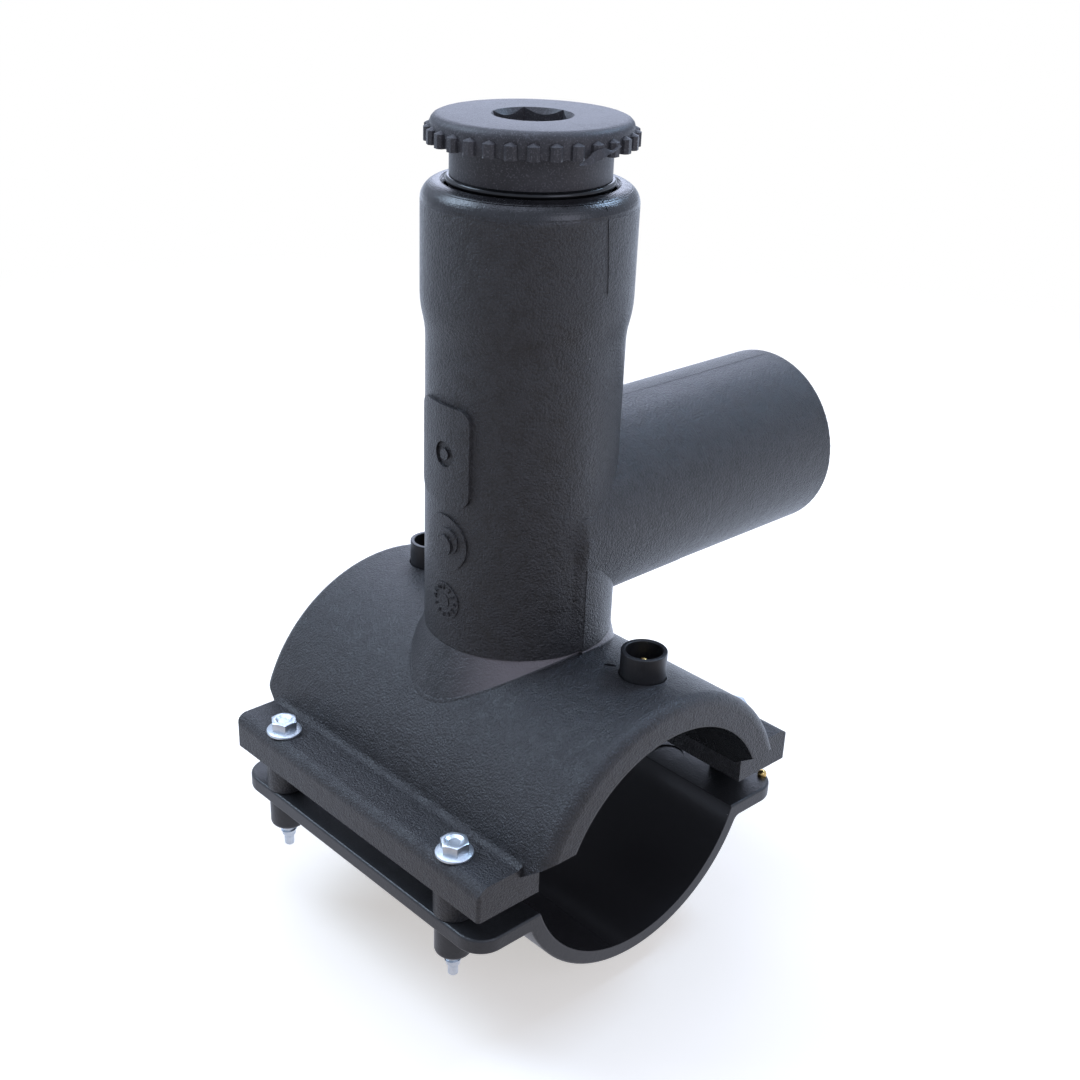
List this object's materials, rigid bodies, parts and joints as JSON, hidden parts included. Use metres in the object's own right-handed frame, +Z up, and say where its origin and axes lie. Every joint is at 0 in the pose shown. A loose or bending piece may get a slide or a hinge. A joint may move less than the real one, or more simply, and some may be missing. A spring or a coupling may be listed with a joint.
{
  "type": "tapping saddle",
  "caption": "Electrofusion tapping saddle: half shell with tower, cutter, screw cap and side outlet, drawn to a main pipe by an underclamp and screws.",
  "frame": {"origin": "on the main pipe's axis, below the tower's axis", "axes": "+X out of the outlet, +Y along the main pipe, +Z up the tower"},
  "size_m": [0.1914, 0.145, 0.2603],
  "materials": {
    "pe_moulding": "black moulded polyethylene, fine leather grain outside, smooth in the bores",
    "pe_clamp": "black moulded plastic, satin",
    "pe_cap": "black moulded polyethylene, matte with light scuffs",
    "shroud": "black, semi-gloss",
    "indicator": "black, satin",
    "seal": "black, glossy",
    "zinc": "bright bluish zinc plate",
    "cutter_steel": "turned steel",
    "brass": "bright brass",
    "resistance_wire": "dull copper alloy"
  },
  "bodies": {
    "saddle": {"saddle_body": "pe_moulding", "heating_wire": "resistance_wire", "terminal_shroud_front": "shroud", "terminal_shroud_rear": "shroud", "terminal_pin_front": "brass", "terminal_pin_rear": "brass"},
    "underclamp": {"underclamp": "pe_clamp", "brass_stud": "brass"},
    "cap_carrier": {"cap_o_ring": "seal"},
    "cap": {"screw_cap": "pe_cap"},
    "cutter_carrier": {"cutter_o_ring": "seal"},
    "cutter": {"cutter": "cutter_steel"},
    "indicator_front": {"melt_indicator_front": "indicator"},
    "indicator_rear": {"melt_indicator_rear": "indicator"},
    "screw_front_left": {"clamp_screw_front_left": "zinc"},
    "screw_front_right": {"clamp_screw_front_right": "zinc"},
    "screw_rear_left": {"clamp_screw_rear_left": "zinc"},
    "screw_rear_right": {"clamp_screw_rear_right": "zinc"}
  },
  "joints": [
    {"name": "clamp_draw", "type": "slide", "parent": "saddle", "child": "underclamp", "axis": [0, 0, -1], "range_m": [0, 0.009]},
    {"name": "screw_turn_front_left", "type": "hinge", "parent": "saddle", "child": "screw_front_left", "pos_m": [-0.0637, -0.0445, 0], "axis": [0, 0, 1], "range_deg": [0, 1800.5]},
    {"name": "screw_turn_front_right", "type": "hinge", "parent": "saddle", "child": "screw_front_right", "pos_m": [0.0637, -0.0445, 0], "axis": [0, 0, 1], "range_deg": [0, 1800.5]},
    {"name": "screw_turn_rear_left", "type": "hinge", "parent": "saddle", "child": "screw_rear_left", "pos_m": [-0.0637, 0.0445, 0], "axis": [0, 0, 1], "range_deg": [0, 1800.5]},
    {"name": "screw_turn_rear_right", "type": "hinge", "parent": "saddle", "child": "screw_rear_right", "pos_m": [0.0637, 0.0445, 0], "axis": [0, 0, 1], "range_deg": [0, 1800.5]},
    {"name": "cap_lift", "type": "slide", "parent": "saddle", "child": "cap_carrier", "axis": [0, 0, 1], "range_m": [-0.01081, 0.00601]},
    {"name": "cap_turn", "type": "hinge", "parent": "cap_carrier", "child": "cap", "pos_m": [0, 0, 0.2], "axis": [0, 0, 1], "range_deg": [-1296, 720]},
    {"name": "cutter_feed", "type": "slide", "parent": "saddle", "child": "cutter_carrier", "axis": [0, 0, 1], "range_m": [-0.08801, 0.00001]},
    {"name": "cutter_turn", "type": "hinge", "parent": "cutter_carrier", "child": "cutter", "pos_m": [0, 0, 0.14], "axis": [0, 0, 1], "range_deg": [-7920, 0]},
    {"name": "indicator_rise_front", "type": "slide", "parent": "saddle", "child": "indicator_front", "axis": [0, 0, 1], "range_m": [0, 0.0025]},
    {"name": "indicator_rise_rear", "type": "slide", "parent": "saddle", "child": "indicator_rear", "axis": [0, 0, 1], "range_m": [0, 0.0025]}
  ],
  "couplings": [
    {"joint": "screw_turn_front_left", "follows": "clamp_draw", "rad_per_m": 3490.7},
    {"joint": "screw_turn_front_right", "follows": "clamp_draw", "rad_per_m": 3490.7},
    {"joint": "screw_turn_rear_left", "follows": "clamp_draw", "rad_per_m": 3490.7},
    {"joint": "screw_turn_rear_right", "follows": "clamp_draw", "rad_per_m": 3490.7},
    {"joint": "cap_lift", "follows": "cap_turn", "m_per_rad": 0.00047746},
    {"joint": "cutter_feed", "follows": "cutter_turn", "m_per_rad": 0.00063662}
  ]
}
